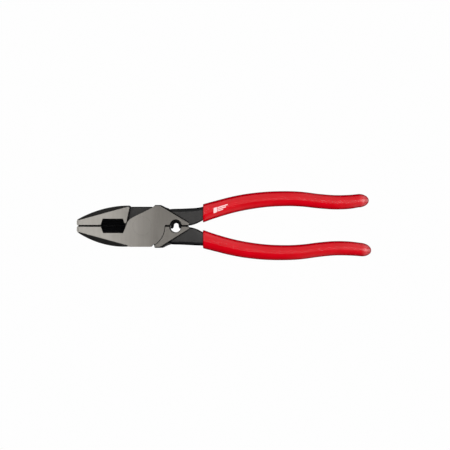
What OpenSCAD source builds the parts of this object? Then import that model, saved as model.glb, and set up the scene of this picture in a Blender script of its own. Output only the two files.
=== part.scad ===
// Lineman pliers: two crossed forged levers, one flush rivet, two dipped grips.
// Frame: origin on the rivet axis at the head's flat underside, +Z along the rivet,
// jaws towards -X, handles towards +X, upper handle on +Y. Millimetres.

/* [Part] */
// Which sub-part to make

/* [Head] */
// Thickness of the head at the joint
head_thickness = 16; // [13:0.5:19]
// Distance from the rivet axis to the jaw tips
jaw_reach = 53.1; // [45:0.1:62]
// Height of one jaw at its flat tip
tip_height = 3.9; // [3:0.1:7]
// Angle of the ground jaw edge to the split line
ground_edge_angle = 15.2; // [8:0.1:20]
// Slope of the bevel along the jaw back
back_bevel_angle = 46; // [30:1:65]
// Taper of each jaw face towards the tip, degrees
face_taper = 3; // [0:0.1:5]
// Gap between the closed jaws
jaw_gap = 0.04; // [0.02:0.02:0.4]
// Chamfer along the gripping edges
split_chamfer = 0.75; // [0.1:0.05:1]

/* [Serrations] */
// Distance between serration grooves
tooth_pitch = 1.5; // [1:0.1:3]
// Depth of the serration grooves
tooth_depth = 0.35; // [0.1:0.05:0.8]
// Angle of the crossed grooves to the jaw face
tooth_angle = 32; // [20:1:45]

/* [Cutter] */
// Front end of the cutter window, behind the rivet axis
cutter_front = 33.8; // [28:0.1:40]
// Half height of the cutter window
cutter_half = 5.85; // [4:0.05:8]
// Depth at which the knife bevel begins, from the mid-plane
bevel_start = 6.2; // [4:0.1:7.5]

/* [Joint] */
// Radius of the round plate seam
seam_radius = 18.6; // [16:0.1:21]
// Clearance at the seam, each side
seam_clearance = 0.05; // [0.03:0.01:0.3]
// Half width of the groove worn along the seam
seam_groove = 0.25; // [0.1:0.05:0.8]
// Half of the gap between the two lap plates
lap_clearance = 0.03; // [0.02:0.01:0.1]
// Radius of the rivet shank
rivet_radius = 6.5; // [4:0.1:9]
// Flare of the rivet ends
rivet_flare = 1.0; // [0.4:0.1:2]
// Running clearance round the rivet in the moving lever
rivet_clearance = 0.03; // [0.02:0.01:0.1]

/* [Crimper] */
// Distance of the crimper from the rivet axis
crimp_x = 27.3; // [24:0.1:32]
// Radius of the pocket round the crimping die
crimp_pocket = 4.8; // [3:0.1:6]
// Radius of the notch the die closes into
crimp_notch = 4.5; // [4:0.1:6]
// Half thickness of the die web
crimp_web = 3.6; // [2:0.1:6]
// How far the die legs reach past the split line
crimp_leg = 2.2; // [1:0.1:3]
// Half width of the die nest
crimp_nest = 1.9; // [1:0.05:3]

/* [Handles] */
// Thickness of the forged shanks
shank_thickness = 10.4; // [8:0.2:13]
// Thickness of the tang near its end
tang_thickness = 6.4; // [4:0.2:9]
// How far the tang reaches from the rivet axis
tang_reach = 168; // [120:1:176]

/* [Grips] */
// Where the grip mouths are
grip_mouth = 49.3; // [44:0.1:60]
// Reach of the upper grip
upper_grip_reach = 184.3; // [160:0.1:200]
// Reach of the lower grip
lower_grip_reach = 186.3; // [160:0.1:200]
// Thickness of the grips in the middle
grip_thickness = 12.6; // [10:0.2:16]

/* [Quality] */
// Points round each swept section
ring_points = 24; // [12:4:48]
// Steps between the control sections
sweep_steps = 3; // [1:1:8]

/* [Hidden] */
$fn = 96;
ht = head_thickness / 2;
half_gap = jaw_gap / 2;
far = 90;
taper_x = -12;
seam_in = seam_radius - seam_clearance;
seam_out = seam_radius + seam_clearance;
tip_z = ht - (jaw_reach + taper_x) * tan(face_taper);
forged = [0.30, 0.30, 0.31];
bright = [0.66, 0.64, 0.61];
vinyl = [0.80, 0.05, 0.10];

// Each lever's own numbers: plate edge on the jaw side, ear height, shank outer height,
// jaw height, end of the ear, edge of the ground face at x = 26, the slope of that edge,
// how far the handle leans outwards per millimetre of its length, where the jaw is highest,
// the radius of the curved jaw back, and where its bevel meets the face at the joint.
upper_set = [17.0, 16.9, 13.9, 16.95, 14.9, 9.35, 31.2, 0.007, -15, 66, 15.65];
lower_set = [15.55, 17.85, 15.3, 16.5, 16.7, 9.8, 32.2, -0.007, -10.5, 84, 15.3];

// ---- swept sections: every section lies in a plane of constant x ----

function mix4(a, b, c, d, t) =
    0.5 * ((2 * b) + (c - a) * t + (2 * a - 5 * b + 4 * c - d) * t * t
    + (3 * b - a - 3 * c + d) * t * t * t);

function smooth_rows(rows, steps) =
    let (n = len(rows))
    [for (i = [0 : n - 2], s = [0 : steps - 1])
        mix4(rows[max(i - 1, 0)], rows[i], rows[i + 1], rows[min(i + 2, n - 1)], s / steps),
     rows[n - 1]];

// row: [x, inner y, outer y, half thickness, squareness]
function ring(row, n) =
    let (yc = (row[1] + row[2]) / 2, yw = (row[2] - row[1]) / 2, e = 2 / row[4])
    [for (k = [0 : n - 1])
        let (a = 360 * (k + 0.5) / n, c = cos(a), s = sin(a))
        [row[0], yc + yw * sign(c) * pow(abs(c), e), row[3] * sign(s) * pow(abs(s), e)]];

// The same row with a corner radius in its last place, for the flat-sided shanks,
// whose sides are a hair crowned
function plank(row, n) =
    let (yc = (row[1] + row[2]) / 2, w = (row[2] - row[1]) / 2, h = row[3], r = row[4])
    [for (k = [0 : n - 1])
        let (q = floor(4 * k / n), a = 360 * (k + 0.5) / n - 90 * q,
            b = q % 2 == 0 ? a : 90 - a, f = (b - 27) / 36 * 90,
            y = b < 27 ? w + 0.06 * cos(b / 27 * 90)
                : b > 63 ? (w - r) * (90 - b) / 27 : w - r + r * cos(f),
            z = b > 63 ? h + 0.06 * cos((90 - b) / 27 * 90)
                : b < 27 ? (h - r) * b / 27 : h - r + r * sin(f))
        [row[0], yc + (q == 0 || q == 3 ? y : -y), q < 2 ? z : -z]];

module sweep(rows, flat = false) {
    n = ring_points;
    m = len(rows);
    polyhedron(
        points = [for (r = rows) each (flat ? plank(r, n) : ring(r, n))],
        faces = concat(
            [[for (k = [0 : n - 1]) k]],
            [for (i = [0 : m - 2], k = [0 : n - 1])
                [i * n + k, (i + 1) * n + k, (i + 1) * n + (k + 1) % n]],
            [for (i = [0 : m - 2], k = [0 : n - 1])
                [i * n + k, (i + 1) * n + (k + 1) % n, i * n + (k + 1) % n]],
            [[for (k = [n - 1 : -1 : 0]) (m - 1) * n + k]]));
}

// ---- one lever, drawn with its jaw on -Y, its plate on top and its handle on +Y;
//      z = 0 is the mid-plane of the head ----

// The handles lean a little, each its own way, about their middle
function lean(rows, k) = [for (r = rows)
    let (d = r[0] > 35 ? k * (r[0] - 97) : 0)
    [r[0], r[1] + d, r[2] + (r[0] > 49 ? d : 0), r[3], r[4]]];

function tang_rows(outer) = [
    [17, 7.5, outer - 1.2, shank_thickness / 2 - 0.4, 1.7],
    [24, 3.5, outer - 0.2, shank_thickness / 2, 1.7],
    [31, 1.1, outer, shank_thickness / 2, 1.7],
    [37.6, 0.6, outer + 0.3, shank_thickness / 2, 1.7],
    [44, 2.2, outer + 0.65, shank_thickness / 2 - 0.1, 1.7],
    [50, 5.2, 16, shank_thickness / 2 - 0.3, 1.9],
    [60, 8.9, 18.6, shank_thickness / 2 - 0.7, 2.3],
    [80, 14.0, 23.1, tang_thickness / 2 + 0.9, 2.2],
    [100, 17.2, 25.6, tang_thickness / 2 + 0.6, 2],
    [125, 18.0, 25.2, tang_thickness / 2 + 0.3, 1.8],
    [150, 16.0, 22.0, tang_thickness / 2, 1.5],
    [tang_reach - 4, 16.4, 21.7, tang_thickness / 2 - 0.2, 1.4],
    [tang_reach, 17.6, 20.7, tang_thickness / 2 - 1.4, 0.8]];

module shank(set) {
    sweep(smooth_rows(lean(tang_rows(set[2]), set[7]), sweep_steps), flat = true);
}

module jaw_outline(set) {
    intersection() {
        translate([set[8], set[9] - set[3]]) circle(r = set[9], $fn = 180);
        polygon([
            [-jaw_reach, -1.35], [0.35 - jaw_reach, -0.6], [1.4 - jaw_reach, -half_gap],
            [-13.2, -half_gap], [-13.2, -2.4], [-12.4, -2.4], [-12.0, -3.3],
            [-11.15, -4.9], [-9.35, -13.4], [-9.1, -14.6], [-9.5, -15.5],
            [-10.6, -16.3], [-11.2, -18], [-52.2, -18],
            [-jaw_reach + 0.5, -tip_height - 0.8], [-jaw_reach, -tip_height]]);
    }
}

module plate_outline(edge, height) {
    polygon([
        [-15.95, -half_gap - 6], [-13.1, -half_gap], [-12.45, 0.8], [-12.1, 2.5],
        [-11.5, 3.5], [-10.9, 4.2], [-10, 5.25], [-8, 6.55], [-6, 7.65], [-3, 9.1],
        [0, 10.55], [4, 12.55], [8.6, 14.9], [9.5, 15.9], [12, 15.9], [16, 12], [22, 6],
        [22, half_gap], [seam_in - 0.4, half_gap], [17, -4], [0, -9]]);
    intersection() {
        circle(r = seam_in);
        polygon([
            [-15.95, -half_gap - 6], [-14, -half_gap - 1], [0, 4], [far, half_gap],
            [far, -14.9], [9.2, -14.9], [7.6, -edge], [-8.6, -edge], [-14, -edge + 0.4]]);
    }
    // under the jaw root, out to the jaw's own back
    back = min(height, edge);
    polygon([
        [-15.95, -half_gap - 6], [-8, -4], [-8, -edge], [-9.2, -edge],
        [-10.2, -back + 0.05], [-13.5, -back + 0.1], [-16, -back + 0.2]]);
}

module boss_outline(set) {
    ear = set[1];
    w = set[4];
    difference() {
        polygon([
            [8.9, 14.8], [9.6, 15.3], [10.1, ear - 0.5], [10.7, ear], [w, ear],
            [w + 1.2, ear - 0.5], [w + 4, ear - 1.9], [w + 6.2, ear - 2.6],
            [37.9, 3.2], [38.15, 1.9], [37.8, 0.8], [37.1, half_gap], [14, half_gap],
            [14, 8]]);
        circle(r = seam_out);
    }
}

// Grooves of one hand across the gripping face
module grooves(hand) {
    for (x = [-jaw_reach + 2.4 : tooth_pitch : -cutter_front - 1.2])
        translate([x, -half_gap, 0]) rotate([0, hand * tooth_angle, 0])
            rotate([0, 0, 45])
                cube([tooth_depth * sqrt(2), tooth_depth * sqrt(2), 4 * ht], center = true);
}

// Cutter for a straight chamfer: material on -Y, the edge along X at the origin
module edge_cut(width, depth, length) {
    rotate([90, 0, 90]) linear_extrude(length, center = true)
        polygon([[-1.5 * width, depth / 2], [width / 2, -1.5 * depth],
            [width / 2 + 1, depth / 2]]);
}

module tapers(edge) {
    for (m = [0, 1]) mirror([0, 0, m]) {
        // face taper
        translate([taper_x, 0, ht]) rotate([0, -face_taper, 0])
            translate([-far, -far / 2, 0]) cube([far, far, far / 4]);
        // bevel along the jaw back, ending square at the joint on the plate's side
        translate([taper_x, -edge, ht]) rotate([0, 0, -ground_edge_angle])
            rotate([0, -face_taper * cos(ground_edge_angle), 0]) rotate([back_bevel_angle, 0, 0])
                translate([-far, -far / 4, 0]) cube([far + 0.5 + 4.5 * m, far / 2, far / 4]);
        // chamfer along the gripping edge
        translate([taper_x, -half_gap, ht]) rotate([0, -face_taper, 0])
            translate([-far, 0, 0]) edge_cut(split_chamfer, 2 * split_chamfer, 2 * far - 8);
        // bevel across the tip
        translate([2 - jaw_reach, 0, tip_z]) rotate([0, -28, 0])
            translate([-far, -far / 2, 0]) cube([far, far, far / 4]);
    }
    // the shoulder over the other lever's plate: broken edge and corner
    translate([-10.25, -9.15, -ht]) rotate([0, 0, -78]) mirror([0, 0, 1])
        edge_cut(1.1, 2.4, 17);
    translate([-9.6, -15.6, -ht]) rotate([0, 0, -135]) mirror([0, 0, 1])
        edge_cut(1.2, 1.9, 7);
}

// The knife bevels: the window outline, open down to a knife edge at the mid-plane.
// The two knives pass each other by a hair, each with its lip on its own side.
module window(top) {
    lip = top ? [[2, 0.15], [-half_gap, 0.15]]
        : [[2, -0.01], [-half_gap - 0.04, -0.01], [-half_gap - 0.04, 0.15]];
    land = top ? [[-15.3, -cutter_half], [-12.9, -half_gap], [-12.9, 1]]
        : [[-15.5, -cutter_half], [-14.3, -2.4], [-11.8, -2.4], [-11.8, 1]];
    intersection() {
        translate([0, 0, top ? 0 : -far]) linear_extrude(far)
            polygon(concat([[-cutter_front, 1], [-cutter_front, -half_gap],
                [top ? -31.6 : -31.9, -cutter_half]], land));
        mirror([0, 0, top ? 0 : 1]) translate([-far / 2, 0, 0]) rotate([90, 0, 90])
            linear_extrude(far) polygon(concat(lip, [[-cutter_half - 0.01, bevel_start],
                [-cutter_half - 0.01, 20], [2, 20]]));
    }
}

// The ground face stands above the shank behind it, with a steep wall between them
module boss_walls(edge, slope) {
    low = shank_thickness / 2 - 0.6;
    for (m = [0, 1]) mirror([0, 0, m])
        translate([26, edge, 0]) rotate([0, 0, -slope]) rotate([90, 0, 90])
            translate([0, 0, -18]) linear_extrude(60)
                polygon([[-1.2 / (ht - low), ht + 1], [1.2, low], [20, low], [20, ht + 1]]);
}

module crimp_die() {
    linear_extrude(2 * crimp_web, center = true)
        translate([crimp_x, 0]) polygon([
            [-4.3, 1.5], [-4.3, -1.5], [-4.15, -crimp_leg], [3.8, -crimp_leg],
            [4.0, -1.5], [4.2, 1.5]]);
}

// Round pocket in both faces, narrowing in two cones down to the die's edge
module crimp_pockets() {
    for (m = [0, 1]) mirror([0, 0, m]) translate([crimp_x, 0.4, 0])
        rotate_extrude() polygon([
            [0, 1.2], [crimp_nest + 0.5, 1.2], [crimp_pocket - 1.4, crimp_web],
            [crimp_pocket - 1.0, crimp_web], [crimp_pocket, ht], [crimp_pocket, ht + 1],
            [0, ht + 1]]);
}

module crimp_slot() {
    translate([crimp_x + 0.2, 0, -far / 2]) {
        translate([0, 0.3, 0]) cylinder(r = crimp_nest, h = far);
        linear_extrude(far) for (m = [0, 1]) mirror([m, 0]) polygon([
            [-0.1, 0.3], [crimp_nest, 0.3], [crimp_nest + 0.2, -0.9],
            [crimp_nest + 0.5, -1.6], [crimp_nest + 1.1, -2.25], [crimp_nest + 1.1, -4],
            [-0.1, -4]]);
    }
}

// Fine groove along the round seam: on the plate's side, and on the boss's side
module seam_line() {
    for (m = [0, 180]) rotate([m, 0, 0]) intersection() {
        rotate_extrude() polygon([
            [seam_radius - seam_groove - 1, ht + 1], [seam_radius, ht - seam_groove],
            [seam_radius + seam_groove + 1, ht + 1]]);
        translate([9.6, -16, 0]) cube([10, 16 - half_gap, far]);
    }
}

module lever_blank(set) {
    difference() {
        union() {
            linear_extrude(2 * ht, center = true) jaw_outline(set);
            translate([0, 0, lap_clearance]) linear_extrude(ht - lap_clearance)
                plate_outline(set[0], set[3]);
            linear_extrude(2 * ht, center = true) boss_outline(set);
        }
        tapers(set[10]);
        window(true);
        window(false);
        // step behind the knife, leaving a thin web at the mid-plane
        translate([-14.3, -2.4, -far]) cube([4, 4, far - 0.9]);
        grooves(1);
        grooves(-1);
        boss_walls(set[5], set[6]);
        seam_line();
        for (m = [0, 1]) mirror([0, 0, m]) {
            // chamfer along the boss edge at the split
            translate([seam_radius + 20, half_gap, ht]) mirror([0, 1, 0])
                edge_cut(0.75, 1.5, 40);
            // chamfer along the ear
            translate([14, set[1], ht]) edge_cut(0.8, 0.8, 12);
        }
        // broken free edge of the plate at the lap
        translate([-0.5, -set[0], lap_clearance]) rotate([180, 0, 0]) edge_cut(0.9, 0.9, 16.4);
    }
    // the knife's lip
    translate([0.3 - cutter_front, -0.6, 0.01]) cube([cutter_front - 14, 0.64, 0.14]);
}

module rivet_solid(grow) {
    h = head_thickness + (grow > 0 ? 2 : 0);
    rotate_extrude() polygon([
        [0, -h / 2], [rivet_radius + rivet_flare + grow, -h / 2],
        [rivet_radius + rivet_flare + grow, -ht], [rivet_radius + grow, -ht + rivet_flare],
        [rivet_radius + grow, ht - rivet_flare], [rivet_radius + rivet_flare + grow, ht],
        [rivet_radius + rivet_flare + grow, h / 2], [0, h / 2]]);
}

module upper_blank() {
    difference() {
        union() {
            lever_blank(upper_set);
            shank(upper_set);
            crimp_die();
        }
        crimp_pockets();
        crimp_slot();
        rivet_solid(rivet_clearance);
    }
}

module lower_blank() {
    difference() {
        union() {
            lever_blank(lower_set);
            shank(lower_set);
        }
        // notch for the die, with a small chamfer at both faces
        translate([crimp_x - 0.3, 0.8, 0]) {
            cylinder(r = crimp_notch, h = far, center = true);
            for (m = [0, 1]) mirror([0, 0, m]) translate([0, 0, ht - 0.4])
                cylinder(r1 = crimp_notch, r2 = crimp_notch + 1, h = 1);
        }
        rivet_solid(0.0001);
    }
}

// ---- grips ----

function grip_rows(reach) = let (t = grip_thickness / 2) [
    [grip_mouth + 1.8, 3.6, 18.45, t + 0.2, 2.6],
    [58.3, 6.15, 20.35, t + 0.2, 2.5],
    [71.3, 10.05, 23.65, t + 0.1, 2.5],
    [84.4, 12.95, 26.1, t, 2.5],
    [100.7, 15.2, 27.75, t, 2.5],
    [116.9, 15.9, 28.1, t - 0.1, 2.5],
    [130, 15.4, 27.45, t - 0.2, 2.5],
    [143, 13.9, 25.75, t - 0.3, 2.5],
    [156.1, 12.9, 24.6, t - 0.35, 2.5],
    [168, 13.2, 24.7, t - 0.5, 2.45],
    [reach - 8.5, 14.4, 25.35, t - 0.7, 2.3]];

module grip_skin(reach, k) {
    t = grip_thickness / 2;
    m = grip_mouth;
    tip = [for (a = [20, 40, 56, 68, 78, 86])
        let (c = cos(a), w = 5.4 * c + 0.1, y = 19.9 + (k < 0 ? 0.75 : 0.1) * sin(a))
        [reach - 8.5 + 8.5 * sin(a), y - w, y + w, (t - 0.8) * c + 0.1, 2.25]];
    sweep(lean(concat(
        [[m, 3.6, 17.5, t - 0.35, 2.6], [m + 0.12, 3.3, 17.85, t - 0.05, 2.6],
         [m + 0.6, 3.2, 18.1, t + 0.15, 2.6]],
        smooth_rows(grip_rows(reach), sweep_steps), tip), k));
}

module upper_grip_solid() {
    difference() {
        grip_skin(upper_grip_reach, upper_set[7]);
        shank(upper_set);
    }
}

module lower_grip_solid() {
    difference() {
        grip_skin(lower_grip_reach, lower_set[7]);
        shank(lower_set);
    }
}

// ---- the named sub-parts, in the part frame ----

module upper_lever() {
    color(forged) translate([0, 0, ht]) upper_blank();
}

module lower_lever() {
    color(forged) translate([0, 0, ht]) rotate([180, 0, 0]) lower_blank();
}

module joint_rivet() {
    // set a hair below both faces, so that the lever faces are what it rests on
    color(bright) translate([0, 0, ht]) intersection() {
        rivet_solid(0);
        cube([far, far, head_thickness - 0.1], center = true);
    }
}

module upper_grip() {
    color(vinyl) translate([0, 0, ht]) upper_grip_solid();
}

module lower_grip() {
    color(vinyl) translate([0, 0, ht]) rotate([180, 0, 0]) lower_grip_solid();
}

upper_lever();
lower_lever();
joint_rivet();
upper_grip();
lower_grip();
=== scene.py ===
"""Looks for the lineman pliers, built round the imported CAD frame.

Metres, in the CAD frame: origin on the rivet axis at the head's underside, +Z along the rivet,
+X towards the handle ends, +Y towards the upper grip. The tables of numbers are in millimetres.
"""
import math

import bmesh
import bpy
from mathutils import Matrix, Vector

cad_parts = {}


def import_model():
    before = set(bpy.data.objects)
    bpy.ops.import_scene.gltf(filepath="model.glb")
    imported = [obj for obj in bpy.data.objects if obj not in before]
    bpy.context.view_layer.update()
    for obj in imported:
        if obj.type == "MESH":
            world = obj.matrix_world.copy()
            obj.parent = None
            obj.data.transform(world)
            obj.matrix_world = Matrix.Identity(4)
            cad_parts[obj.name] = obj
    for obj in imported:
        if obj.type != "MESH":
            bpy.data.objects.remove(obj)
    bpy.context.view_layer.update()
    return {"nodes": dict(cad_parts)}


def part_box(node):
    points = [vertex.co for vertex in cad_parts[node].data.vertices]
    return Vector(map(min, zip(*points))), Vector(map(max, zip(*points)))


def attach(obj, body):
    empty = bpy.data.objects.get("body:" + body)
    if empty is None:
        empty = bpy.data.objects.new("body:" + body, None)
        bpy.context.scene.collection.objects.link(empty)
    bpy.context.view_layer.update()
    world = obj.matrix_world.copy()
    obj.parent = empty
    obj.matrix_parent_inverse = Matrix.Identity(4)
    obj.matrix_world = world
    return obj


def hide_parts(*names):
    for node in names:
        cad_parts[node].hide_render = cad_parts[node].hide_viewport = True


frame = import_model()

MM = 0.001
MID_Z = 8 * MM  # the head's mid-plane
BLACK = (0, 0, 0, 1)
WHITE = (1, 1, 1, 1)


# ---------------------------------------------------------------- small helpers

def link(obj):
    bpy.context.scene.collection.objects.link(obj)
    return obj


class Graph:
    """A material's or world's node tree, with short calls to fill it."""

    def __init__(self, tree):
        self.tree = tree
        tree.nodes.clear()

    def add(self, kind, **values):
        n = self.tree.nodes.new(kind)
        for key, value in values.items():
            setattr(n, key, value)
        return n

    def put(self, node, name, value):
        """Sets an input, or wires it when value is an output socket."""
        if isinstance(value, bpy.types.NodeSocket):
            self.tree.links.new(value, node.inputs[name])
        else:
            node.inputs[name].default_value = value

    def math(self, op, a, b=0.0):
        n = self.add("ShaderNodeMath", operation=op)
        self.put(n, 0, a)
        self.put(n, 1, b)
        return n.outputs[0]

    def times(self, value, *others):
        for other in others:
            value = self.math("MULTIPLY", value, other)
        return value

    def plus(self, value, *others):
        for other in others:
            value = self.math("ADD", value, other)
        return value

    def blend(self, *pairs):
        """The sum of each value times its weight."""
        return self.plus(*[self.times(value, weight) for value, weight in pairs])

    def ramp(self, value, low, high, to_low=0.0, to_high=1.0, smooth=True):
        """Takes low..high to to_low..to_high, and holds the value beyond either end."""
        n = self.add("ShaderNodeMapRange",
                     interpolation_type="SMOOTHSTEP" if smooth else "LINEAR")
        for name, v in (("Value", value), ("From Min", low), ("From Max", high),
                        ("To Min", to_low), ("To Max", to_high)):
            self.put(n, name, v)
        return n.outputs["Result"]

    def mix(self, factor, a, b):
        n = self.add("ShaderNodeMix", data_type="RGBA")
        for i, v in ((0, factor), (6, a), (7, b)):
            self.put(n, i, v)
        return n.outputs[2]

    def coords(self, scale=(1, 1, 1), turn=(0, 0, 0), move=(0, 0, 0)):
        """Object coordinates, which are the CAD frame's metres on every piece here."""
        m = self.add("ShaderNodeMapping")
        self.put(m, "Vector", self.add("ShaderNodeTexCoord").outputs["Object"])
        self.put(m, "Location", move)
        self.put(m, "Rotation", turn)
        self.put(m, "Scale", scale)
        return m.outputs["Vector"]

    def xyz(self, vector):
        n = self.add("ShaderNodeSeparateXYZ")
        self.put(n, 0, vector)
        return n.outputs

    def noise(self, vector, scale, detail, rough):
        n = self.add("ShaderNodeTexNoise")
        self.put(n, "Vector", vector)
        self.put(n, "Scale", scale)
        self.put(n, "Detail", detail)
        self.put(n, "Roughness", rough)
        return n.outputs["Fac"]

    def bump(self, height, strength, distance, normal=None):
        n = self.add("ShaderNodeBump")
        self.put(n, "Height", height)
        self.put(n, "Strength", strength)
        self.put(n, "Distance", distance)
        if normal is not None:
            self.put(n, "Normal", normal)
        return n.outputs["Normal"]

    def shader(self, **values):
        p = self.add("ShaderNodeBsdfPrincipled")
        for name, value in values.items():
            self.put(p, name.replace("_", " "), value)
        self.put(self.add("ShaderNodeOutputMaterial"), "Surface", p.outputs["BSDF"])


def material(name):
    m = bpy.data.materials.new(name)
    m.use_nodes = True
    return m, Graph(m.node_tree)


# ---------------------------------------------------------------- materials

# Ground steel's darkest and lightest tones, at the jaw tips and behind the rivet, and between
# which X in mm the one gives way to the other: the paler jaws are a painted highlight and the
# darker joint a painted shade, the fall of the reflected light across the head
LIT_JAW_STEEL = ((0.305, 0.289, 0.262, 1), (0.340, 0.323, 0.295, 1))
SHADED_JOINT_STEEL = ((0.122, 0.113, 0.101, 1), (0.145, 0.135, 0.121, 1))
PAINTED_LIGHT_FADE = (-31, 12)

OXIDE_TONES = ((0.0105, 0.0100, 0.0096, 1), (0.0145, 0.0138, 0.0132, 1))
# Near-black tones of the painted shade and painted dark reflection, for the cutter window, the
# broken edges and the hollows round the joint
PAINTED_SHADE_TONES = ((0.0008, 0.0008, 0.001, 1), (0.0015, 0.0015, 0.0018, 1))
RED_TONES = ((0.51, 0.0, 0.005, 1), (0.555, 0.0, 0.007, 1))
MARK_COLOUR = (0.86, 0.62, 0.62, 1)

# The printed mark: its middle on the grip, how it is turned and slanted, and its block and
# three bars, each as x from and to, y from and to, in mm along and across it
MARK_MIDDLE = (63.7, 14.4)
MARK_TURN = math.radians(17)
MARK_SLANT = 0.3
MARK_BOXES = ((-6.0, -3.1, -2.3, 1.7),
              (-2.7, 5.9, 0.7, 1.5), (-2.7, 4.4, -0.6, 0.2), (-2.7, 2.0, -1.8, -1.1))
MARK_SOFTNESS = 0.12
MARK_FLOOR = (9, 9.5)  # Z in mm between which it appears, so that only the top face has it


def ground_steel():
    """Surface-ground steel: fine lines across the head, faint smudges, warm grey, and paler
    along the jaws as a painted highlight, darker towards the joint as a painted shade."""
    m, g = material("ground_steel")
    lines = g.noise(g.coords(scale=(1, 0.035, 1)), 5200, 2.0, 0.6)
    bands = g.noise(g.coords(scale=(1, 0.05, 1), move=(0.3, 0.1, 0)), 420, 2.0, 0.5)
    smudge = g.noise(g.coords(), 55, 4.0, 0.55)
    tone = g.blend((g.blend((lines, 0.5), (bands, 0.5)), 0.6), (smudge, 0.4))
    contrast = g.ramp(tone, 0.35, 0.65)
    along = g.xyz(g.coords())["X"]
    # painted highlight and painted shade: the fall of the reflected light from the jaws to the
    # joint
    painted_light_fade = g.ramp(along, *(x * MM for x in PAINTED_LIGHT_FADE), smooth=False)
    colour = g.mix(painted_light_fade, g.mix(contrast, *LIT_JAW_STEEL), g.mix(contrast, *SHADED_JOINT_STEEL))
    g.shader(Base_Color=colour, Metallic=0.4, Roughness=g.ramp(tone, 0.3, 0.7, 0.36, 0.28),
             Normal=g.bump(lines, 0.05, 0.00004))
    return m


def black_oxide():
    """Blackened forging: fine grain from the die, a little uneven."""
    m, g = material("black_oxide")
    grain = g.noise(g.coords(), 2600, 4.0, 0.65)
    patch = g.noise(g.coords(), 130, 4.0, 0.6)
    colour = g.mix(g.ramp(patch, 0.35, 0.7), *OXIDE_TONES)
    rough = g.ramp(g.blend((grain, 0.5), (patch, 0.5)), 0.3, 0.7, 0.30, 0.42)
    g.shader(Base_Color=colour, Roughness=rough, IOR=1.44,
             Normal=g.bump(patch, 0.2, 0.0003, g.bump(grain, 0.15, 0.00006)))
    return m


def painted_shade_edge():
    """The cutting bevels and the broken edges: smooth, and almost black as a painted shade and
    painted dark reflection.
    """
    m, g = material("painted_shade_edge")
    lines = g.noise(g.coords(scale=(0.05, 1, 1)), 4200, 2.0, 0.6)
    g.shader(Base_Color=g.mix(lines, *PAINTED_SHADE_TONES),
             Roughness=g.ramp(lines, 0.3, 0.7, 0.24, 0.30), IOR=1.33,
             Normal=g.bump(lines, 0.06, 0.00004))
    return m


def vinyl(name, mark=False):
    """Dipped vinyl: red, with a painted shade that darkens it along the sides' middle and at the
    mouth, and smooth with the faintest ripple."""
    m, g = material(name)
    ripple = g.noise(g.coords(), 160, 2.0, 0.5)
    fine = g.noise(g.coords(), 1500, 2.0, 0.5)
    place = g.xyz(g.coords())
    height = g.math("ABSOLUTE", g.math("SUBTRACT", place["Z"], MID_Z))
    # painted shade: darker towards the mid-plane along the sides, and at the mouth's edge
    painted_side_shade = g.times(g.ramp(height, 1.2 * MM, 5.2 * MM, 0.6, 1.0),
                   g.ramp(place["X"], 49.4 * MM, 50.6 * MM, 0.7, 1.0))
    colour = g.mix(painted_side_shade, BLACK, g.mix(g.ramp(ripple, 0.3, 0.7), *RED_TONES))
    rough = g.ramp(fine, 0.3, 0.7, 0.09, 0.13)
    if mark:
        colour, rough = printed_mark(g, colour, rough)
    g.shader(Base_Color=colour, Roughness=rough, IOR=1.48,
             Normal=g.bump(ripple, 0.06, 0.0006))
    return m


def printed_mark(g, colour, rough):
    """A plain pad-printed mark, a slanted block and three bars, on the upper face only."""
    mx, my = (v * MM for v in MARK_MIDDLE)
    c, s = math.cos(MARK_TURN), math.sin(MARK_TURN)
    x, y, z = g.xyz(g.coords(move=(-(c * mx + s * my), s * mx - c * my, 0),
                             turn=(0, 0, -MARK_TURN)))
    x = g.math("SUBTRACT", x, g.times(y, MARK_SLANT))
    soft = MARK_SOFTNESS * MM

    def between(value, low, high):
        return g.times(g.ramp(value, low * MM - soft, low * MM + soft),
                       g.ramp(value, high * MM - soft, high * MM + soft, 1.0, 0.0))

    mask = 0.0
    for x0, x1, y0, y1 in MARK_BOXES:
        mask = g.math("MAXIMUM", mask, g.times(between(x, x0, x1), between(y, y0, y1)))
    worn = g.ramp(g.noise(g.coords(), 2600, 3.0, 0.6), 0.25, 0.5, 0.75, 1.0)
    mask = g.times(mask, worn, g.ramp(z, *(v * MM for v in MARK_FLOOR)))
    return g.mix(mask, colour, MARK_COLOUR), g.plus(rough, g.times(mask, 0.2))


GROUND = ground_steel()
OXIDE = black_oxide()
PAINTED_SHADE = painted_shade_edge()
RED = vinyl("red_vinyl")
RED_MARKED = vinyl("red_vinyl_marked", mark=True)


# ---------------------------------------------------------------- levers

FINISHES = (OXIDE, GROUND, PAINTED_SHADE)  # a forging's material slots, in order
OXIDE_SLOT, GROUND_SLOT, PAINTED_SHADE_SLOT = range(3)

TIP_X = -51  # the bevels across the jaw tips lie beyond this
GROUND_HEIGHT = 5.5  # ground faces lie further than this from the mid-plane

# Regions painted near-black, a painted shade and painted dark reflection: x from and to,
# distance from the split plane from and to, and how level the face lies (the size of its
# normal's Z: 1 for a flat side, 0 for a wall) from and to
PAINTED_SHADE_REGIONS = {
    "cutter window": (-34, -11.5, 0, 5.95, 0, 0.99),
    "chamfers along the split": (-math.inf, math.inf, 0, 1, 0.2, 0.99),
    "shoulder's broken edge": (-12.6, -8.6, 2.5, math.inf, 0.3, 0.95),
    "shanks' inner edges": (17, math.inf, 0, 11, 0, 0.93),
    "shanks' outer edges": (17, math.inf, 11, math.inf, 0, 0.995),
    "side walls of the joint": (-9, 9, 14, math.inf, 0, 0.9),
}
CRIMPER_X, CRIMPER_RADIUS = 27.3, 5.4  # the crimping die and its notch, all painted near-black as shade

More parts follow.
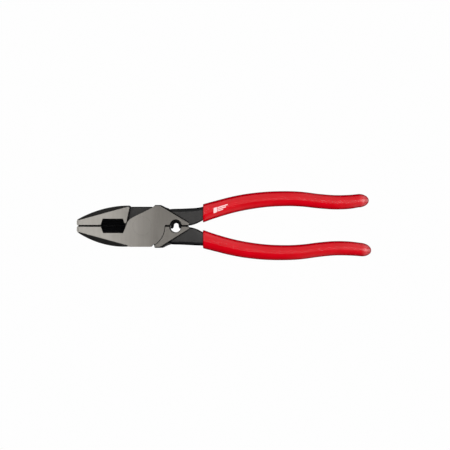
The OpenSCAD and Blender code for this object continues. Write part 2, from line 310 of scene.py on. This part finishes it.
WELD = 0.003  # vertices of the CAD mesh this close are one
FLAT = math.radians(0.5)  # facets that meet at less are one face
SHARP = math.radians(32)  # edges that turn by more are shaded as sharp
BROKEN = math.radians(28)  # a ground face's edges that turn by more are broken
BREAK_WIDTH = 0.4  # of an edge that is broken most


def is_ground(normal, centre):
    """The surface-ground faces: the two flat sides of the head, tapering with the jaws, and
    the bevels across the jaw tips."""
    if centre.x < TIP_X * MM and abs(normal.y) < 0.2:
        return True
    return abs(normal.z) > 0.98 and abs(centre.z - MID_Z) > GROUND_HEIGHT * MM


def is_painted_shade(normal, centre):
    """Any face of a region painted near-black as shade, or of the crimping die."""
    x, y, level = centre.x / MM, abs(centre.y) / MM, abs(normal.z)
    if math.hypot(x - CRIMPER_X, y) < CRIMPER_RADIUS:
        return True
    return any(x0 < x < x1 and y0 <= y < y1 and level0 <= level < level1
               for x0, x1, y0, y1, level0, level1 in PAINTED_SHADE_REGIONS.values())


def finish_of(normal, centre):
    if is_ground(normal, centre):
        return GROUND_SLOT
    return PAINTED_SHADE_SLOT if is_painted_shade(normal, centre) else OXIDE_SLOT


def edge_break(edge):
    """How far an edge of a ground face is broken: not at all round the rivet, a little at
    the jaws and near the split, most along the outside."""
    a, b = (v.co for v in edge.verts)
    middle = (a + b) / 2
    if middle.xy.length < 8.5 * MM:
        return 0.0
    if middle.x < -10 * MM or abs(middle.y) < 7 * MM:
        return 0.4
    return 1.0


def lever_piece(node, name, body):
    """The forging, from the node's own surface: coplanar facets joined, ground faces told from
    blackened ones and from those painted near-black as shade, and the edges of the ground faces
    broken as on the tool."""
    me = frame["nodes"][node].data.copy()
    me.name = name
    me.materials.clear()
    for mat in FINISHES:
        me.materials.append(mat)
    bm = bmesh.new()
    bm.from_mesh(me)
    bmesh.ops.remove_doubles(bm, verts=bm.verts, dist=WELD * MM)
    bmesh.ops.dissolve_limit(bm, angle_limit=FLAT, verts=bm.verts, edges=bm.edges)
    bm.normal_update()
    for f in bm.faces:
        f.smooth = True
        f.material_index = finish_of(f.normal, f.calc_center_median())
    weight = bm.edges.layers.float.new("bevel_weight_edge")
    for e in bm.edges:
        if len(e.link_faces) != 2:
            continue
        angle = e.calc_face_angle(0)
        e.smooth = angle < SHARP
        if angle > BROKEN and GROUND_SLOT in {f.material_index for f in e.link_faces}:
            e[weight] = edge_break(e)
    bm.to_mesh(me)
    bm.free()
    obj = link(bpy.data.objects.new(name, me))
    bevel = obj.modifiers.new("broken_edges", "BEVEL")
    bevel.limit_method = "WEIGHT"
    bevel.width = BREAK_WIDTH * MM
    bevel.segments = 2
    # the broken edges break to the blackening, and are painted near-black as shade
    bevel.material = PAINTED_SHADE_SLOT
    obj.modifiers.new("flat_faces", "WEIGHTED_NORMAL").keep_sharp = True
    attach(obj, body)
    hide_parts(node)


lever_piece("upper_lever", "upper_forging", "upper_half")
lever_piece("lower_lever", "lower_forging", "lower_half")


# ---------------------------------------------------------------- rivet

RIVET_SPREAD, RIVET_STRETCH = 1.0025, 1.004  # across and along, over the CAD's


def rivet_piece():
    """The peened rivet, ground flush: it fills the plate's hole up to a hair."""
    me = frame["nodes"]["joint_rivet"].data.copy()
    me.name = "joint_pin"
    me.materials.clear()
    me.materials.append(GROUND)
    for v in me.vertices:
        v.co.x *= RIVET_SPREAD
        v.co.y *= RIVET_SPREAD
        v.co.z = MID_Z + (v.co.z - MID_Z) * RIVET_STRETCH
    obj = link(bpy.data.objects.new("joint_pin", me))
    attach(obj, "lower_half")
    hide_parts("joint_rivet")


rivet_piece()


# ---------------------------------------------------------------- grips

# Rows of x, inner edge, outer edge, half thickness, squareness, as seen on the +Y side
MOUTH = ((49.3, 3.6, 17.5, 5.95, 2.6), (49.42, 3.3, 17.85, 6.25, 2.6),
         (49.9, 3.2, 18.1, 6.45, 2.6))
SKIN = (
    (51.1, 3.6, 18.45, 6.5, 2.6), (58.3, 6.15, 20.35, 6.5, 2.5), (71.3, 10.05, 23.65, 6.4, 2.5),
    (84.4, 12.95, 26.1, 6.3, 2.5), (100.7, 15.2, 27.75, 6.3, 2.5), (116.9, 15.9, 28.1, 6.2, 2.5),
    (130, 15.4, 27.45, 6.1, 2.5), (143, 13.9, 25.75, 6.0, 2.5), (156.1, 12.9, 24.6, 5.95, 2.5),
    (168, 13.2, 24.7, 5.8, 2.45),
)
SLEEVE_DEPTH = ((49.3, 5.0, 15.6, 4.9, 3.2), (60, 8.9, 18.6, 4.5, 3), (80, 14.0, 23.1, 4.1, 3),
                (100, 17.2, 25.6, 3.8, 3), (125, 18.0, 25.2, 3.5, 3), (150, 16.0, 22.0, 3.2, 3),
                (164, 16.4, 21.7, 3.0, 3), (168, 17.6, 20.7, 1.8, 2.4))
DOME_LENGTH = 8.5
DOME_START = (14.4, 25.35, 5.6, 2.3)  # the row that it grows from, without its x
DOME_MIDDLE, DOME_HALF_WIDTH, DOME_HALF_THICKNESS, DOME_SQUARENESS = 19.9, 5.4, 5.5, 2.25
DOME_SHIFT = {1: 0.1, -1: 0.75}  # how far outwards its tip lies, on each side
BLUNT = 0.1  # keeps the dome's last ring from closing to a point
# For each mm beyond LEAN_X the upper grip leans outwards by LEAN mm, and the lower one inwards
LEAN, LEAN_X = 0.007, 97
AROUND = 64  # points round a grip


def spline(rows, steps):
    """Rows with Catmull-Rom steps put between them."""
    out = []
    for i in range(len(rows) - 1):
        a, b, c, d = (rows[max(i - 1, 0)], rows[i], rows[i + 1], rows[min(i + 2, len(rows) - 1)])
        for k in range(steps):
            t = k / steps
            out.append(tuple(
                0.5 * (2 * q + (r - p) * t + (2 * p - 5 * q + 4 * r - s) * t * t
                       + (3 * q - p - 3 * r + s) * t ** 3)
                for p, q, r, s in zip(a, b, c, d)))
    return out + [rows[-1]]


def dome(side, reach):
    """The rows of a grip's rounded end, up to the blunt tip near x = reach."""
    rows = []
    for a in (math.radians(d) for d in range(8, 90, 5)):
        y = DOME_MIDDLE + DOME_SHIFT[side] * math.sin(a)
        w = DOME_HALF_WIDTH * math.cos(a) + BLUNT
        rows.append((reach - DOME_LENGTH + DOME_LENGTH * math.sin(a), y - w, y + w,
                     DOME_HALF_THICKNESS * math.cos(a) + BLUNT, DOME_SQUARENESS))
    return rows


def ring(row, side):
    """The points round a grip at one row: a superellipse, on the +Y or the -Y side."""
    x, inner, outer, thick, square = row
    mid, half, e = (inner + outer) / 2, (outer - inner) / 2, 2 / square
    mid += side * LEAN * (x - LEAN_X)
    points = []
    for k in range(AROUND):
        a = 2 * math.pi * (k + 0.5) / AROUND
        c, s = math.cos(a), math.sin(a)
        y = mid + half * math.copysign(abs(c) ** e, c)
        z = thick * math.copysign(abs(s) ** e, s)
        points.append(Vector((x * MM, side * y * MM, MID_Z + side * z * MM)))
    return points


def grip_piece(node, name, body, side, reach, mat):
    """A sleeve: outer skin with a rounded mouth and end, and the pocket that the tang fills."""
    outside = (list(MOUTH) + spline(SKIN + ((reach - DOME_LENGTH, *DOME_START),), 10)
               + dome(side, reach))
    inside = spline(SLEEVE_DEPTH, 3)
    bm = bmesh.new()
    loops = [[bm.verts.new(p) for p in ring(r, side)] for r in list(reversed(inside)) + outside]
    for a, b in zip(loops, loops[1:]):
        for k in range(AROUND):
            n = (k + 1) % AROUND
            bm.faces.new((a[k], a[n], b[n], b[k]))
    bm.faces.new(loops[0])
    bm.faces.new(list(reversed(loops[-1])))
    bmesh.ops.recalc_face_normals(bm, faces=bm.faces)
    for f in bm.faces:
        f.smooth = True
    me = bpy.data.meshes.new(name)
    bm.to_mesh(me)
    bm.free()
    me.materials.append(mat)
    obj = link(bpy.data.objects.new(name, me))
    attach(obj, body)
    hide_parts(node)


for node, body, slot, side, mat in (
        ("upper_grip", "upper_half", "vinyl_upper", 1, RED_MARKED),
        ("lower_grip", "lower_half", "vinyl_lower", -1, RED)):
    grip_piece(node, node.replace("grip", "sleeve"), body, side,
               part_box(node)[1].x / MM, mat)


# ---------------------------------------------------------------- stage, light, camera

FLOOR_SIZE, FLOOR_Z, FLOOR_GLOW = 8, -0.0003, 0.99
DOME_RADIUS, DOME_GLOW = 3.9, 0.97

# What glossy rays see: the strength of each part of the world, and of the rest of it
BOX, CARD, STRIP, LAMP, ELSEWHERE = 0.8, 0.02, 0.12, 6.0, 0.005
# What diffuse rays see: the strength at the horizon, and what is added straight up and down
FILL, FROM_ABOVE, FROM_BELOW = 0.05, 0.3, 0.9

KEY_PLACE, KEY_AIM, KEY_SIZE, KEY_WATTS = (0.06, 0.1, 1.5), (0.06, 0, 0), (0.8, 0.6), 20

# The camera looks straight down from DISTANCE metres above AIM (mm), but stands ASIDE mm off
# the jaws' split plane, so that the hair gap in it isn't seen through; its shift takes that
# back, over the VIEW_WIDTH mm that it sees there
AIM = (67.2, 0.67, 9.5)
DISTANCE = 1.17
ASIDE = 6
VIEW_WIDTH = 366.3


def glowing(name, strength):
    """An even, unshaded white."""
    m, g = material(name)
    g.shader(Base_Color=BLACK, Roughness=1.0, Specular_IOR_Level=0.0,
             Emission_Color=WHITE, Emission_Strength=strength)
    return m


def stage():
    bpy.ops.mesh.primitive_plane_add(size=FLOOR_SIZE, location=(0, 0, FLOOR_Z))
    floor = bpy.context.object
    floor.name = "floor"
    floor.data.materials.append(glowing("pale_floor", FLOOR_GLOW))
    bpy.ops.mesh.primitive_uv_sphere_add(segments=48, ring_count=24, radius=DOME_RADIUS)
    backdrop = bpy.context.object
    backdrop.name = "backdrop"
    backdrop.data.materials.append(glowing("pale_backdrop", DOME_GLOW))
    for o in (floor, backdrop):
        o.visible_glossy = False
        o.visible_diffuse = False
    backdrop.visible_shadow = False


def world():
    """For reflections, a soft box overhead that reaches down to the horizon on the +Y side and
    is brighter towards -X, a dark card and a low strip on the -Y side, and a lamp beyond the
    handle ends. For the matt surfaces, a weak fill, mostly from straight above and below."""
    w = bpy.data.worlds.new("studio")
    bpy.context.scene.world = w
    w.use_nodes = True
    g = Graph(w.node_tree)
    x, y, z = g.xyz(g.add("ShaderNodeTexCoord").outputs["Generated"])
    box = g.times(g.ramp(y, -0.15, -0.10), g.ramp(z, 0.05, 0.25),
                  g.ramp(x, -0.35, 0.10, 1.25, 0.65))
    card = g.times(g.ramp(y, -0.10, -0.30), g.ramp(z, 0.15, 0.35))
    strip = g.times(g.ramp(y, -0.82, -0.92), g.ramp(z, -0.05, -0.15))
    narrow = g.ramp(g.math("ABSOLUTE", y), 0.15, 0.38, 1.0, 0.3)
    lamp = g.times(g.ramp(x, 0.06, 0.66, smooth=False), g.ramp(x, 0.72, 0.9, 1.0, 0.5),
                   g.times(narrow, g.ramp(z, -0.5, -0.35)))
    mirrored = g.plus(g.blend((box, BOX), (strip, STRIP), (card, CARD), (lamp, LAMP)), ELSEWHERE)
    pole = g.times(g.math("POWER", g.math("ABSOLUTE", z), 4.0),
                   g.ramp(z, -0.1, 0.1, FROM_BELOW, FROM_ABOVE))
    matt = g.add("ShaderNodeLightPath").outputs["Is Diffuse Ray"]
    bg = g.add("ShaderNodeBackground")
    g.put(bg, "Color", WHITE)
    g.put(bg, "Strength", g.blend((mirrored, g.math("SUBTRACT", 1.0, matt)),
                                  (g.plus(pole, FILL), matt)))
    g.put(g.add("ShaderNodeOutputWorld"), "Surface", bg.outputs[0])


def key_light():
    """A large soft light overhead, for the matt surfaces only."""
    data = bpy.data.lights.new("key", "AREA")
    data.shape = "RECTANGLE"
    data.size, data.size_y = KEY_SIZE
    data.energy = KEY_WATTS
    obj = link(bpy.data.objects.new("key", data))
    obj.visible_glossy = False
    obj.location = KEY_PLACE
    obj.rotation_mode = "QUATERNION"
    obj.rotation_quaternion = (Vector(KEY_AIM) - obj.location).to_track_quat("-Z", "Y")


def camera():
    data = bpy.data.cameras.new("camera")
    data.lens = 115
    data.sensor_width = 36
    data.shift_y = -ASIDE / VIEW_WIDTH
    cam = link(bpy.data.objects.new("camera", data))
    cam.location = (AIM[0] * MM, (AIM[1] + ASIDE) * MM, AIM[2] * MM + DISTANCE)
    bpy.context.scene.camera = cam


stage()
world()
key_light()
camera()
bpy.context.scene.view_settings.view_transform = "Standard"
